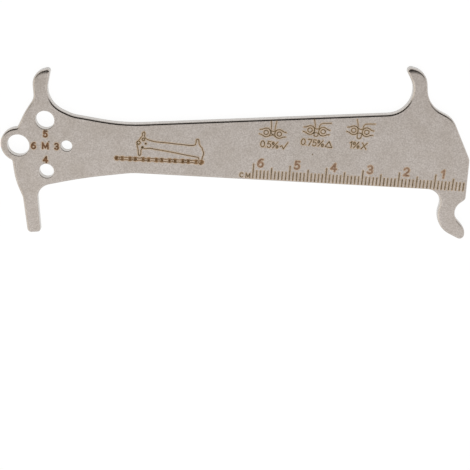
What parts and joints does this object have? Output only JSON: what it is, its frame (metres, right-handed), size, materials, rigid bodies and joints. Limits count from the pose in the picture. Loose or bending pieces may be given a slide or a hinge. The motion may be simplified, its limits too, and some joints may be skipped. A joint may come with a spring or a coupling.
{
  "type": "chain wear gauge",
  "caption": "Flat steel gauge that checks bicycle chain stretch with a probe leg and a roller hook, holds the chain with its horns, sizes screws and measures length.",
  "frame": {"origin": "middle of the outline's box, on the back face that the gauge lies on", "axes": "+X along the straight ruler edge, from the head with the four holes to the hooked end, +Y towards the horns, +Z out of the marked face"},
  "size_m": [0.1294, 0.0532, 0.002],
  "materials": {
    "plate": "satin tumbled stainless sheet with laser marks on one face"
  },
  "bodies": {
    "root": {"gauge_plate": "plate"}
  },
  "joints": []
}
